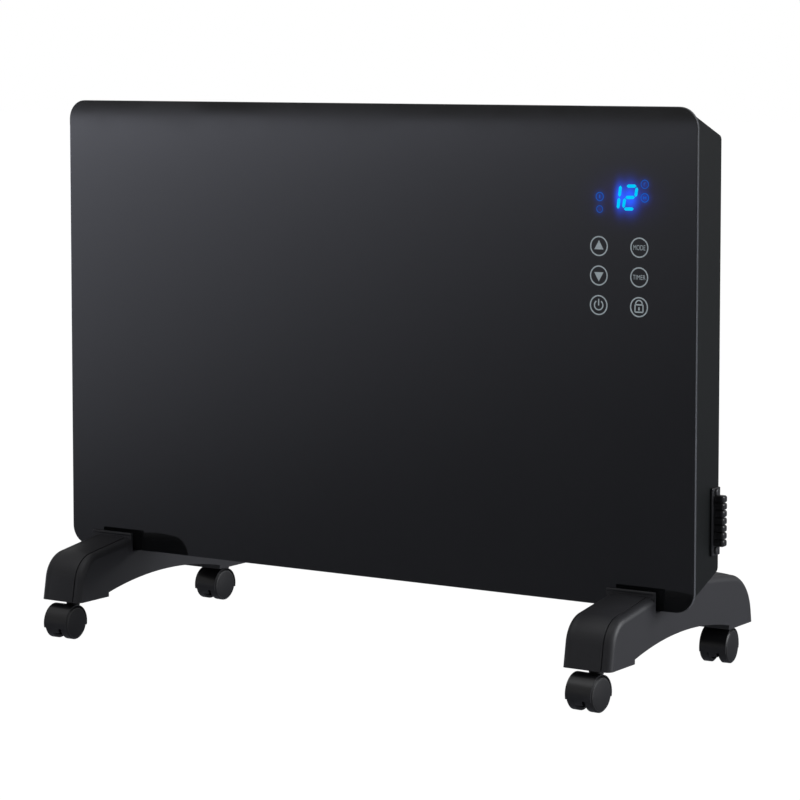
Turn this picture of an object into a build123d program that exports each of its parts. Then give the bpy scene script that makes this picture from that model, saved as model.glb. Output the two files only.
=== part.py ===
from build123d import *
import os
from math import atan2, cos, degrees, radians, sin

# Convector heater with a glass front, on two moulded feet with twin-wheel castors.
# Millimetres. X to the right seen from the front, Y from front to back, Z up from the floor.
# Every piece is drawn with Y = 0 on the front face of the glass. save() then moves it by GLASS_Y,
# which puts the origin on the floor under the middle of the whole heater.

# Glass panel
GLASS_W = 707.5
GLASS_H = 450.0
GLASS_T = 4.0
GLASS_R = 19.0
GLASS_Z = 77.3

# Bonding strip between the glass and the case
BOND_T = 1.5
BOND_W = 10.0
BOND_IN = 0.5

# Rear case, a folded and welded pan of sheet steel with an inward front flange
CASE_T = 1.0
CASE_INSET = 11.75
CASE_DEPTH = 64.5
CASE_TOP_DROP = 3.6
CASE_BOTTOM_RISE = 2.6
TOP_FALL = 24.0
BOTTOM_FALL = 26.3
CASE_BEND_R = 5.0
FLANGE_W = 12.0
THROUGH = 1.0

# Air slots in the sloped top and bottom of the case
SLOT_L = 82.0
SLOT_W = 5.0
SLOT_PITCH_X = 92.0
SLOT_COLUMNS = 6
OUTLET_ROWS = 4
OUTLET_PITCH = 12.0
INLET_ROWS = 3
INLET_PITCH = 12.0

# Pressed louvres low on the back wall
LOUVRE_L = 70.0
LOUVRE_H = 9.0
LOUVRE_OUT = 4.5
LOUVRE_BULGE = 0.78
LOUVRE_PITCH_X = 82.0
LOUVRE_PITCH_Z = 17.0
LOUVRE_COLUMNS = 5
LOUVRE_ROWS = 3
LOUVRE_X = -60.0
LOUVRE_Z = 128.0

# Keyholes for hanging the heater on a wall
HANG_X = 180.0
HANG_DOWN = 97.3
HANG_R = 4.5
HANG_SLOT_W = 4.6
HANG_SLOT_L = 9.0

# Front closing plate with its window for the touch board. What is named IN lies that far in from the
# right edge of the glass, and what is named DOWN that far below its top edge.
PLATE_T = 1.0
PLATE_EDGE_GAP = 1.0
PLATE_END_GAP = 2.0
WINDOW_IN = 77.25
WINDOW_DOWN = 119.3
WINDOW_W = 104.0
WINDOW_H = 168.0

# Touch board, its carrier, the key springs and the display
BOARD_W = 96.0
BOARD_H = 160.0
BOARD_T = 1.6
KEY_COLUMNS_IN = (97.85, 56.85)
KEY_ROWS_DOWN = (126.2, 152.8, 179.6)
KEY_SPRING_R = 5.0
KEY_SPRING_WALL = 0.8
KEY_SPRING_L = 5.0
DISPLAY_IN = 72.75
DISPLAY_DOWN = 82.0
DISPLAY_W = 62.0
DISPLAY_H = 30.0
CARRIER_T = 2.0
CARRIER_DEPTH = 12.0

# Heating element, a finned aluminium section with a sheathed heater in its core
ELEMENT_LEFT_GAP = 42.0
ELEMENT_RIGHT_GAP = 46.0
ELEMENT_FROM_BACK = 30.0
ELEMENT_Z = 205.0
CORE_R = 7.0
FIN_REACH = 25.0
FIN_T = 2.0
FIN_ANGLES = (28, 62, 118, 152, 208, 242, 298, 332)
FIN_SLITS = 12
SLIT_W = 3.0
INSULATOR_R = 9.0
INSULATOR_L = 14.0
TERMINAL_R = 2.0
TERMINAL_L = 26.0
BRACKET_T = 1.2
BRACKET_W = 26.0
BRACKET_FOOT = 14.0

# Flat push-on terminals of the element, the cut-out and the switches
TAB_L = 8.0
TAB_W = 6.2
TAB_T = 0.8

# Heat shield between the element and the front plate
SHIELD_T = 0.8
SHIELD_OUT = 6.0
SHIELD_Z0 = 120.0
SHIELD_Z1 = 330.0
SHIELD_LIP = 10.0
SHIELD_END = 8.0

# Safety devices
CUTOUT_R = 8.0
CUTOUT_H = 9.0
CUTOUT_Z = 262.0
CUTOUT_FLANGE_W = 28.0
CUTOUT_FLANGE_H = 10.0
CUTOUT_FLANGE_T = 1.0
CUTOUT_TAB_X = 4.0
FUSE_R = 2.2
FUSE_L = 14.0
FUSE_LEAD = 8.0
FUSE_AWAY = 40.0
TIP_W = 22.0
TIP_D = 16.0
TIP_H = 26.0
TIP_AWAY = 14.0
TIP_Z = 135.0
TIP_TAB_X = 5.0
TIP_TAB_Y = (5.0, 11.0)

# Compartment wall and power board at the right
WALL_IN = 177.75
WALL_T = 1.0
WALL_FOOT = 10.0
WALL_LOW_GAP = 3.0
WALL_HIGH_GAP = 8.0
WALL_FOOT_LOW = 40.0
WALL_FOOT_HIGH = 10.0
POWER_IN = 91.75
POWER_Z = 262.0
POWER_W = 110.0
POWER_H = 80.0
STANDOFF_R = 3.0
STANDOFF_L = 8.0
STANDOFF_IN = 6.0
RELAY_W = 16.0
RELAY_H = 19.0
RELAY_D = 15.0
RELAY_X = -22.0
RELAY_Z = 8.0
RELAY_GAP = 6.0
BLOCK_W = 40.0
BLOCK_H = 14.0
BLOCK_D = 12.0
BLOCK_UP = 12.0
BLOCK_WAYS = 4
BLOCK_PORT = 6.0
BLOCK_RIM = 4.0

# Mains rocker switch on the back wall
SWITCH_IN = 123.75
SWITCH_Z = 180.0
SWITCH_W = 15.0
SWITCH_H = 31.0
SWITCH_RIM = 2.0
SWITCH_BODY_W = 12.6
SWITCH_BODY_H = 27.0
SWITCH_BODY_D = 18.0
SWITCH_TAB_L = 7.0
SWITCH_TAB_PITCH = 8.0
WELL_END_GAP = 1.6
WELL_FLOOR = 2.0
ROCKER_W = 9.2
ROCKER_H = 21.2
ROCKER_GAP = 0.4
ROCKER_PIVOT = 5.0
ROCKER_PIN_R = 1.5
ROCKER_HUB_R = 3.0
ROCKER_HORN = 2.2
ROCKER_DIP = 0.2
ROCKER_SKIRT = 1.5
RUNNING_GAP = 0.05
ROCKER_TILT = 9.0

# Cord gland in the back wall
GLAND_IN = 91.75
GLAND_Z = 146.0
GLAND_BORE_R = 3.6
GLAND_BODY_R = 6.0
GLAND_HEAD_R = 9.0
GLAND_HEAD_L = 8.0
GLAND_TAIL_L = 7.0
GLAND_NUT_R = 9.5
GLAND_NUT_L = 4.0

# Vented guard of the room sensor on the right side wall, its place measured from the back of the case
GUARD_FROM_BACK = 8.5
GUARD_Z = 152.0
GUARD_W = 16.0
GUARD_H = 62.0
GUARD_T = 2.0
GUARD_CORNER_R = 3.0
GUARD_BLOCK_W = 7.5
GUARD_BLOCK_H = 45.0
GUARD_BLOCK_OUT = 11.0
GUARD_RIBS = 7
GUARD_PITCH = 6.4
GUARD_RIB_T = 2.2
GUARD_RIB_ROUND = 0.88
GUARD_CORE_OUT = 7.0
GUARD_SCREW_Z = 26.5
GUARD_SCREW_R = 3.5
GUARD_SCREW_HEAD = 2.2
GUARD_SCREW_ROUND = 1.2
GUARD_SCREW_L = 6.0
SENSOR_R = 2.0
SENSOR_L = 9.0
SENSOR_TAIL = 8.0
SENSOR_GAP = 1.0
SENSOR_WASHER = 2.0

# Moulded feet
FOOT_IN = 58.25
FOOT_W = 49.0
FOOT_FRONT = 91.5
FOOT_REAR = 189.5
FOOT_BASE_Z = 37.4
PAD_FRONT_L = 45.5
PAD_REAR_L = 51.5
PAD_STEP = 4.2
ARCH_RISE = 10.3
FOOT_NOSE = (84.0, 79.5)
FOOT_NOSE_R = 28.0
FOOT_NECK_Z = 90.2
FOOT_HEEL = (182.5, 83.5)
FOOT_HEEL_R = 45.0
FOOT_BACK_Z = 96.3
FOOT_EDGE_R = 6.0
GROOVE_X = 15.5
GROOVE_W = 1.2
GROOVE_DEPTH = 0.8
LEDGE_Y = 10.2
LEDGE_T = 2.5
LEDGE_TOP = 95.7
STOP_T = 3.0
STOP_RISE = 7.0
SEAT_GAP = 0.3
FOOT_WALL = 3.0
RIB_T = 3.0
FOOT_SCREW_Y = (20.0, 50.0)
SCREW_R = 2.0
SCREW_HEAD_R = 4.0
SCREW_HEAD_L = 2.4
HOLE_GAP = 0.2
NUT_R = 4.5
NUT_L = 3.2

# Twin-wheel castors
WHEEL_R = 16.0
WHEEL_IN = 4.5
WHEEL_OUT = 13.8
WHEEL_DOME = 1.1
WHEEL_RIM = 2.8
WHEEL_SHOULDER = 1.2
WHEEL_WEB_X = 10.5
HUB_R = 5.0
AXLE_R = 2.0
AXLE_HALF_L = 11.5
TRAIL = 12.5
HOOD_R = 17.6
HOOD_T = 0.9
HOOD_HALF_W = 13.2
HOOD_LIP_Z = 11.8
HOOD_WEB_HALF = 4.2
HOOD_WEB_Z = 7.3
STEM_R = 3.0
STEM_BOTTOM_Z = 11.0
STEM_TOP_Z = 55.0
STEM_GROOVE_Z = 47.0
COLLAR_R = 6.6
COLLAR_Z = 30.8
SCOOP_GAP = 0.5
SWIVEL_FRONT_Y = -71.8
SWIVEL_REAR_Y = 176.2
# name: side (+1 right), swivel place along Y, how far the castor is turned at rest in degrees
CASTORS = {
    "front_right": (1, SWIVEL_FRONT_Y, -3.7),
    "front_left": (-1, SWIVEL_FRONT_Y, 1.8),
    "rear_right": (1, SWIVEL_REAR_Y, 5.5),
    "rear_left": (-1, SWIVEL_REAR_Y, -3.0),
}

# Places worked out from the sizes above
WIDEST_TURN = radians(max(abs(turn) for _, place, turn in CASTORS.values() if place < 0))
FRONT_REACH = -SWIVEL_FRONT_Y + (TRAIL + HOOD_R) * cos(WIDEST_TURN) + HOOD_HALF_W * sin(WIDEST_TURN)
GLASS_Y = (FRONT_REACH - FOOT_REAR) / 2
GLASS_TOP = GLASS_Z + GLASS_H
GLASS_EDGE = GLASS_W / 2
CASE_HALF = GLASS_EDGE - CASE_INSET
FOOT_X = GLASS_EDGE - FOOT_IN
HANG_Z = GLASS_TOP - HANG_DOWN
WINDOW_X = GLASS_EDGE - WINDOW_IN
WINDOW_Z = GLASS_TOP - WINDOW_DOWN
DISPLAY_X = GLASS_EDGE - DISPLAY_IN
DISPLAY_Z = GLASS_TOP - DISPLAY_DOWN
WALL_X = GLASS_EDGE - WALL_IN
POWER_X = GLASS_EDGE - POWER_IN
SWITCH_X = GLASS_EDGE - SWITCH_IN
GLAND_X = GLASS_EDGE - GLAND_IN
TIP_X = WALL_X + TIP_AWAY
ELEMENT_X0 = -CASE_HALF + ELEMENT_LEFT_GAP
ELEMENT_X1 = WALL_X - ELEMENT_RIGHT_GAP
ELEMENT_L = ELEMENT_X1 - ELEMENT_X0
ELEMENT_X = (ELEMENT_X0 + ELEMENT_X1) / 2
CASE_FRONT = GLASS_T + BOND_T
CASE_BACK = CASE_FRONT + CASE_DEPTH
GUARD_Y = CASE_BACK - GUARD_FROM_BACK
ELEMENT_Y = CASE_BACK - ELEMENT_FROM_BACK
CASE_Z0 = GLASS_Z + CASE_BOTTOM_RISE
CASE_Z1 = GLASS_TOP - CASE_TOP_DROP
BOTTOM_SLOPE = atan2(BOTTOM_FALL, CASE_DEPTH)
TOP_SLOPE = atan2(TOP_FALL, CASE_DEPTH)
INNER_BACK = CASE_BACK - CASE_T
PLATE_Y = CASE_FRONT + CASE_T
PLATE_BACK = PLATE_Y + PLATE_T
BOARD_Y = GLASS_T + KEY_SPRING_L
SADDLE_Z = GLASS_Z - SEAT_GAP
BRACKET_X = ELEMENT_L / 2 + INSULATOR_L / 2


def block(x, y, z):
    """Box between the low and high values of each pair."""
    size = (x[1] - x[0], y[1] - y[0], z[1] - z[0])
    middle = ((x[0] + x[1]) / 2, (y[0] + y[1]) / 2, (z[0] + z[1]) / 2)
    return Pos(*middle) * Box(*size)


def rod_x(radius, x0, x1, y, z):
    """Round bar along X."""
    return Pos((x0 + x1) / 2, y, z) * Rot(0, 90, 0) * Cylinder(radius, x1 - x0)


def rod_y(radius, y0, y1, x, z):
    """Round bar along Y."""
    return Pos(x, (y0 + y1) / 2, z) * Rot(90, 0, 0) * Cylinder(radius, y1 - y0)


def rod_z(radius, z0, z1, x, y):
    """Upright round bar."""
    return Pos(x, y, (z0 + z1) / 2) * Cylinder(radius, z1 - z0)


def side_face(*points):
    """Flat face in the YZ plane from (y, z) corners."""
    return Plane.YZ * make_face(Polyline(*points, close=True))


def across(face, half_width, x=0.0):
    """Side face pulled the same way to both sides of the plane at x."""
    return Pos(x, 0, 0) * extrude(face, half_width, both=True)


def case_bottom(y):
    """Height of the case's sloped bottom at depth y."""
    return CASE_Z0 + (y - CASE_FRONT) * BOTTOM_FALL / CASE_DEPTH


def case_top(y):
    """Height of the case's sloped top at depth y."""
    return CASE_Z1 - (y - CASE_FRONT) * TOP_FALL / CASE_DEPTH


def glass_panel():
    """Toughened glass sheet with rounded corners."""
    outline = RectangleRounded(GLASS_W, GLASS_H, GLASS_R)
    sheet = extrude(Plane.XZ * outline, -GLASS_T)
    return Pos(0, 0, GLASS_Z + GLASS_H / 2) * sheet


def glass_bond():
    """Frame of silicone that holds the glass on the case's front flange."""
    outer_w = 2 * (CASE_HALF - BOND_IN)
    outer_h = CASE_Z1 - CASE_Z0 - 2 * BOND_IN
    ring = Rectangle(outer_w, outer_h) - Rectangle(outer_w - 2 * BOND_W, outer_h - 2 * BOND_W)
    return Pos(0, GLASS_T, (CASE_Z0 + CASE_Z1) / 2) * extrude(Plane.XZ * ring, -BOND_T)


def slot_row(rows, pitch, first, thickness):
    """Rows of long round-ended cutters along X, drawn on the XY plane."""
    cutters = []
    for row in range(rows):
        for column in range(SLOT_COLUMNS):
            x = (column - (SLOT_COLUMNS - 1) / 2) * SLOT_PITCH_X
            shape = extrude(SlotOverall(SLOT_L, SLOT_W), thickness, both=True)
            cutters.append(Pos(x, first + row * pitch, 0) * shape)
    return cutters


def louvre(x, z):
    """Pressed hood open at its lower edge, and the cutter that opens the wall behind it."""
    def hood(out, height, half, back):
        bulge = (back + LOUVRE_BULGE * out, z + height / 2)
        edge = ThreePointArc((back, z + height), bulge, (back + out, z))
        rest = Polyline((back + out, z), (back, z), (back, z + height))
        return across(Plane.YZ * make_face(edge + rest), half, x)
    outside = hood(LOUVRE_OUT, LOUVRE_H, LOUVRE_L / 2, CASE_BACK)
    inside = hood(LOUVRE_OUT - CASE_T, LOUVRE_H - CASE_T, LOUVRE_L / 2 - CASE_T, CASE_BACK)
    half = LOUVRE_L / 2 - CASE_T
    opening = block((x - half, x + half), (INNER_BACK - THROUGH, CASE_BACK), (z, z + LOUVRE_H - 2 * CASE_T))
    return outside - inside, opening


def keyhole(x):
    """Cutter for a round hole with a narrower slot above it."""
    hole = rod_y(HANG_R, INNER_BACK - THROUGH, CASE_BACK + THROUGH, x, HANG_Z)
    half = HANG_SLOT_W / 2
    span = (HANG_Z, HANG_Z + HANG_R + HANG_SLOT_L)
    slot = block((x - half, x + half), (INNER_BACK - THROUGH, CASE_BACK + THROUGH), span)
    return hole + slot


def foot_screw_axis(x, y):
    """Frame on the case's bottom at depth y, its Z axis square to the slope, pointing into the case."""
    return Pos(x, y, case_bottom(y)) * Rot(degrees(BOTTOM_SLOPE), 0, 0)


def rear_case():
    """Steel pan: sloped top and bottom, front flange, slots, louvres, keyholes and other holes."""
    outline = side_face(
        (CASE_FRONT, CASE_Z0),
        (CASE_BACK, case_bottom(CASE_BACK)),
        (CASE_BACK, case_top(CASE_BACK)),
        (CASE_FRONT, CASE_Z1),
    )
    bends = outline.vertices().group_by(Axis.Y)[-1]
    outline = fillet(bends, CASE_BEND_R)
    hollow = offset(outline, -CASE_T, kind=Kind.INTERSECTION)
    case = across(outline, CASE_HALF) - across(hollow, CASE_HALF - CASE_T)
    mouth_x = CASE_HALF - FLANGE_W
    mouth_y = (CASE_FRONT - THROUGH, PLATE_Y + THROUGH)
    case -= block((-mouth_x, mouth_x), mouth_y, (CASE_Z0 + FLANGE_W, CASE_Z1 - FLANGE_W))

    top_frame = Pos(0, CASE_FRONT, CASE_Z1) * Rot(-degrees(TOP_SLOPE), 0, 0)
    bottom_frame = Pos(0, CASE_FRONT, CASE_Z0) * Rot(degrees(BOTTOM_SLOPE), 0, 0)
    first_outlet = (CASE_DEPTH / cos(TOP_SLOPE) - (OUTLET_ROWS - 1) * OUTLET_PITCH) / 2
    first_inlet = (CASE_DEPTH / cos(BOTTOM_SLOPE) - (INLET_ROWS - 1) * INLET_PITCH) / 2
    cutters = [top_frame * c for c in slot_row(OUTLET_ROWS, OUTLET_PITCH, first_outlet, 2 * CASE_T)]
    cutters += [bottom_frame * c for c in slot_row(INLET_ROWS, INLET_PITCH, first_inlet, 2 * CASE_T)]
    hoods = []
    for row in range(LOUVRE_ROWS):
        for column in range(LOUVRE_COLUMNS):
            x = LOUVRE_X + (column - (LOUVRE_COLUMNS - 1) / 2) * LOUVRE_PITCH_X
            hood, opening = louvre(x, LOUVRE_Z + row * LOUVRE_PITCH_Z)
            hoods.append(hood)
            cutters.append(opening)
    cutters += [keyhole(-HANG_X), keyhole(HANG_X)]
    back_wall = (INNER_BACK - THROUGH, CASE_BACK + THROUGH)
    cutters.append(rod_y(GLAND_BODY_R + HOLE_GAP, *back_wall, GLAND_X, GLAND_Z))
    half_w = SWITCH_BODY_W / 2 + HOLE_GAP
    half_h = SWITCH_BODY_H / 2 + HOLE_GAP
    switch_x = (SWITCH_X - half_w, SWITCH_X + half_w)
    cutters.append(block(switch_x, back_wall, (SWITCH_Z - half_h, SWITCH_Z + half_h)))
    wall = (CASE_HALF - CASE_T - THROUGH, CASE_HALF + THROUGH)
    cutters.append(rod_x(SENSOR_R + HOLE_GAP, *wall, GUARD_Y, GUARD_Z))
    for up in (-1, 1):
        z = GUARD_Z + up * GUARD_SCREW_Z
        cutters.append(rod_x(SCREW_R / 2 + HOLE_GAP, *wall, GUARD_Y, z))
    for side in (-1, 1):
        for y in FOOT_SCREW_Y:
            cutters.append(foot_screw_axis(side * FOOT_X, y) * Cylinder(SCREW_R + HOLE_GAP, 4 * CASE_T))
    return case + hoods - cutters


def front_plate():
    """Steel plate behind the flange that closes the case, with the board's window."""
    half = CASE_HALF - CASE_T - PLATE_EDGE_GAP
    low = case_bottom(PLATE_BACK) + CASE_T + PLATE_END_GAP
    high = case_top(PLATE_BACK) - CASE_T - PLATE_END_GAP
    plate = block((-half, half), (PLATE_Y, PLATE_BACK), (low, high))
    window_x = (WINDOW_X - WINDOW_W / 2, WINDOW_X + WINDOW_W / 2)
    window_z = (WINDOW_Z - WINDOW_H / 2, WINDOW_Z + WINDOW_H / 2)
    return plate - block(window_x, (PLATE_Y - THROUGH, PLATE_BACK + THROUGH), window_z)


def touch_board():
    """Circuit board of the keys and the display, held in its carrier."""
    half_w = BOARD_W / 2
    half_h = BOARD_H / 2
    x = (WINDOW_X - half_w, WINDOW_X + half_w)
    z = (WINDOW_Z - half_h, WINDOW_Z + half_h)
    return block(x, (BOARD_Y, BOARD_Y + BOARD_T), z)


def board_carrier():
    """Moulded tray behind the plate's window: a rim, a step that the board lies on and a closed back."""
    back = PLATE_BACK + CARRIER_DEPTH
    def ring(width, height, y0, y1):
        x = (WINDOW_X - width / 2, WINDOW_X + width / 2)
        z = (WINDOW_Z - height / 2, WINDOW_Z + height / 2)
        return block(x, (y0, y1), z)
    tray = ring(BOARD_W + 4 * CARRIER_T, BOARD_H + 4 * CARRIER_T, BOARD_Y, back)
    flange = ring(WINDOW_W + 6 * CARRIER_T, WINDOW_H + 6 * CARRIER_T, PLATE_BACK, PLATE_BACK + CARRIER_T)
    seat = ring(BOARD_W + 2 * HOLE_GAP, BOARD_H + 2 * HOLE_GAP, PLATE_BACK - 1, BOARD_Y + BOARD_T)
    hollow = ring(BOARD_W - 2 * CARRIER_T, BOARD_H - 2 * CARRIER_T, BOARD_Y, back - CARRIER_T)
    return tray + flange - seat - hollow


def touch_springs():
    """Six sprung sleeves that carry the touch from the glass to the board."""
    sleeves = []
    bore = KEY_SPRING_R - KEY_SPRING_WALL
    for inward in KEY_COLUMNS_IN:
        x = GLASS_EDGE - inward
        for down in KEY_ROWS_DOWN:
            z = GLASS_TOP - down
            sleeve = rod_y(KEY_SPRING_R, GLASS_T, BOARD_Y, x, z)
            sleeves.append(sleeve - rod_y(bore, GLASS_T - THROUGH, BOARD_Y + THROUGH, x, z))
    return sleeves


def display_module():
    """Block of light-up digits between the board and the glass."""
    x = (DISPLAY_X - DISPLAY_W / 2, DISPLAY_X + DISPLAY_W / 2)
    z = (DISPLAY_Z - DISPLAY_H / 2, DISPLAY_Z + DISPLAY_H / 2)
    return block(x, (GLASS_T, BOARD_Y), z)


def heating_element():
    """Aluminium section with a round core and eight fins, slit across so that it can grow when hot."""
    section = Circle(CORE_R)
    for angle in FIN_ANGLES:
        fin = Pos(FIN_REACH / 2, 0) * Rectangle(FIN_REACH, FIN_T)
        section += Rot(0, 0, angle) * fin
    profile = Plane.YZ * section
    bar = across(profile, ELEMENT_L / 2)
    slits = []
    for index in range(FIN_SLITS):
        x = (index - (FIN_SLITS - 1) / 2) * ELEMENT_L / FIN_SLITS
        ring = Circle(FIN_REACH + THROUGH) - Circle(CORE_R + FIN_T)
        slits.append(across(Plane.YZ * ring, SLIT_W / 2, x))
    return Pos(ELEMENT_X, ELEMENT_Y, ELEMENT_Z) * (bar - slits)


def element_insulator(side):
    """Ceramic bush on one end of the element."""
    x0 = ELEMENT_L / 2
    groove = BRACKET_T + 2 * HOLE_GAP
    bush = rod_x(INSULATOR_R, x0, x0 + INSULATOR_L, 0, 0)
    waist = rod_x(INSULATOR_R + THROUGH, BRACKET_X - groove / 2, BRACKET_X + groove / 2, 0, 0)
    waist -= rod_x(CORE_R, BRACKET_X - groove, BRACKET_X + groove, 0, 0)
    bush -= waist
    bush -= rod_x(TERMINAL_R, x0 - THROUGH, x0 + INSULATOR_L + THROUGH, 0, 0)
    turned = bush if side > 0 else mirror(bush, Plane.YZ)
    return Pos(ELEMENT_X, ELEMENT_Y, ELEMENT_Z) * turned


def element_terminal(side):
    """Steel pin that brings the current into one end of the element."""
    x0 = ELEMENT_L / 2
    pin = rod_x(TERMINAL_R, x0, x0 + TERMINAL_L, 0, 0)
    tab_x = (x0 + TERMINAL_L, x0 + TERMINAL_L + TAB_L)
    tab = block(tab_x, (-TAB_T / 2, TAB_T / 2), (-TAB_W / 2, TAB_W / 2))
    both = pin + tab
    turned = both if side > 0 else mirror(both, Plane.YZ)
    return Pos(ELEMENT_X, ELEMENT_Y, ELEMENT_Z) * turned


def element_bracket(side):
    """Steel strip from the back wall that holds one bush in its fork."""
    x = ELEMENT_X + side * BRACKET_X
    half = BRACKET_T / 2
    span_z = (ELEMENT_Z - BRACKET_W / 2, ELEMENT_Z + BRACKET_W / 2)
    arm = block((x - half, x + half), (ELEMENT_Y - CORE_R, INNER_BACK), span_z)
    gap = CORE_R + HOLE_GAP
    through = (x - half - THROUGH, x + half + THROUGH)
    arm -= rod_x(gap, *through, ELEMENT_Y, ELEMENT_Z)
    arm -= block(through, (ELEMENT_Y - 2 * CORE_R, ELEMENT_Y), (ELEMENT_Z - gap, ELEMENT_Z + gap))
    tab = sorted((x - side * half, x + side * BRACKET_FOOT))
    foot = block(tab, (INNER_BACK - BRACKET_T, INNER_BACK), span_z)
    return arm + foot


def heat_shield():
    """Bright sheet in front of the element, standing off the front plate on its two folded edges."""
    x = (ELEMENT_X0 - SHIELD_END, ELEMENT_X1 + SHIELD_END)
    y0 = PLATE_BACK
    y1 = PLATE_BACK + SHIELD_OUT
    web = block(x, (y1 - SHIELD_T, y1), (SHIELD_Z0, SHIELD_Z1))
    for z, out in ((SHIELD_Z0, -1), (SHIELD_Z1, 1)):
        wall = sorted((z, z + out * SHIELD_T))
        lip = sorted((z, z + out * SHIELD_LIP))
        web += block(x, (y0, y1), wall)
        web += block(x, (y0, y0 + SHIELD_T), lip)
    return web


def thermal_cutout():
    """Round bimetal switch with its flange on the shield and two flat terminals."""
    y0 = PLATE_BACK + SHIELD_OUT
    body = rod_y(CUTOUT_R, y0, y0 + CUTOUT_H, ELEMENT_X, CUTOUT_Z)
    half_w = CUTOUT_FLANGE_W / 2
    half_h = CUTOUT_FLANGE_H / 2
    flange_y = (y0, y0 + CUTOUT_FLANGE_T)
    flange_x = (ELEMENT_X - half_w, ELEMENT_X + half_w)
    body += block(flange_x, flange_y, (CUTOUT_Z - half_h, CUTOUT_Z + half_h))
    for side in (-1, 1):
        x = ELEMENT_X + side * CUTOUT_TAB_X
        tab_y = (y0 + CUTOUT_H, y0 + CUTOUT_H + TAB_L)
        body += block((x - TAB_T / 2, x + TAB_T / 2), tab_y, (CUTOUT_Z - TAB_W / 2, CUTOUT_Z + TAB_W / 2))
    return body


def thermal_fuse():
    """One-shot fuse lying on the shield beside the cut-out."""
    x = ELEMENT_X + FUSE_AWAY
    y = PLATE_BACK + SHIELD_OUT + FUSE_R
    fuse = rod_x(FUSE_R, x, x + FUSE_L, y, CUTOUT_Z)
    return fuse + rod_x(FUSE_R / 3, x - FUSE_LEAD, x + FUSE_L + FUSE_LEAD, y, CUTOUT_Z)


def tip_switch():
    """Box of the switch that cuts the current when the heater falls over."""
    x = (TIP_X - TIP_W / 2, TIP_X + TIP_W / 2)
    body = block(x, (INNER_BACK - TIP_D, INNER_BACK), (TIP_Z - TIP_H / 2, TIP_Z + TIP_H / 2))
    for side in (-1, 1):
        tab = TIP_X + side * TIP_TAB_X
        tab_y = (INNER_BACK - TIP_TAB_Y[1], INNER_BACK - TIP_TAB_Y[0])
        tab_z = (TIP_Z + TIP_H / 2, TIP_Z + TIP_H / 2 + TAB_L)
        body += block((tab - TAB_T / 2, tab + TAB_T / 2), tab_y, tab_z)
    return body


def compartment_wall():
    """Upright sheet that keeps the element's heat from the boards, fixed by its foot to the back wall."""
    y = (PLATE_BACK + SEAT_GAP, INNER_BACK)
    low = case_bottom(CASE_BACK) + WALL_LOW_GAP
    high = case_top(CASE_BACK) - WALL_HIGH_GAP
    sheet = block((WALL_X, WALL_X + WALL_T), y, (low, high))
    foot_z = (low + WALL_FOOT_LOW, high - WALL_FOOT_HIGH)
    return sheet + block((WALL_X, WALL_X + WALL_FOOT), (INNER_BACK - WALL_T, INNER_BACK), foot_z)


def power_board():
    """Main circuit board on the back wall's standoffs."""
    y1 = INNER_BACK - STANDOFF_L
    half_w = POWER_W / 2
    half_h = POWER_H / 2
    x = (POWER_X - half_w, POWER_X + half_w)
    return block(x, (y1 - BOARD_T, y1), (POWER_Z - half_h, POWER_Z + half_h))


def board_standoffs():
    """Four posts between the back wall and the main board."""
    posts = []
    for side in (-1, 1):
        for up in (-1, 1):
            x = POWER_X + side * (POWER_W / 2 - STANDOFF_IN)
            z = POWER_Z + up * (POWER_H / 2 - STANDOFF_IN)
            posts.append(rod_y(STANDOFF_R, INNER_BACK - STANDOFF_L, INNER_BACK, x, z))
    return posts


def relays():
    """Two relays that switch the two halves of the element."""
    y1 = INNER_BACK - STANDOFF_L - BOARD_T
    boxes = []
    for side in (-1, 1):
        x = POWER_X + RELAY_X + side * (RELAY_W + RELAY_GAP) / 2
        z = (POWER_Z + RELAY_Z - RELAY_H / 2, POWER_Z + RELAY_Z + RELAY_H / 2)
        boxes.append(block((x - RELAY_W / 2, x + RELAY_W / 2), (y1 - RELAY_D, y1), z))
    return boxes


def terminal_block():
    """Row of screw terminals along the main board's lower edge."""
    y1 = INNER_BACK - STANDOFF_L - BOARD_T
    z0 = POWER_Z - POWER_H / 2 + BLOCK_UP
    x = (POWER_X - BLOCK_W / 2, POWER_X + BLOCK_W / 2)
    body = block(x, (y1 - BLOCK_D, y1), (z0, z0 + BLOCK_H))
    port_y = (y1 - BLOCK_D - THROUGH, y1 - BLOCK_D + BLOCK_RIM)
    port_z = (z0 + BLOCK_RIM, z0 + BLOCK_H - BLOCK_RIM)
    for way in range(BLOCK_WAYS):
        centre = POWER_X + (way - (BLOCK_WAYS - 1) / 2) * BLOCK_W / BLOCK_WAYS
        body -= block((centre - BLOCK_PORT / 2, centre + BLOCK_PORT / 2), port_y, port_z)
    return body


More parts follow.
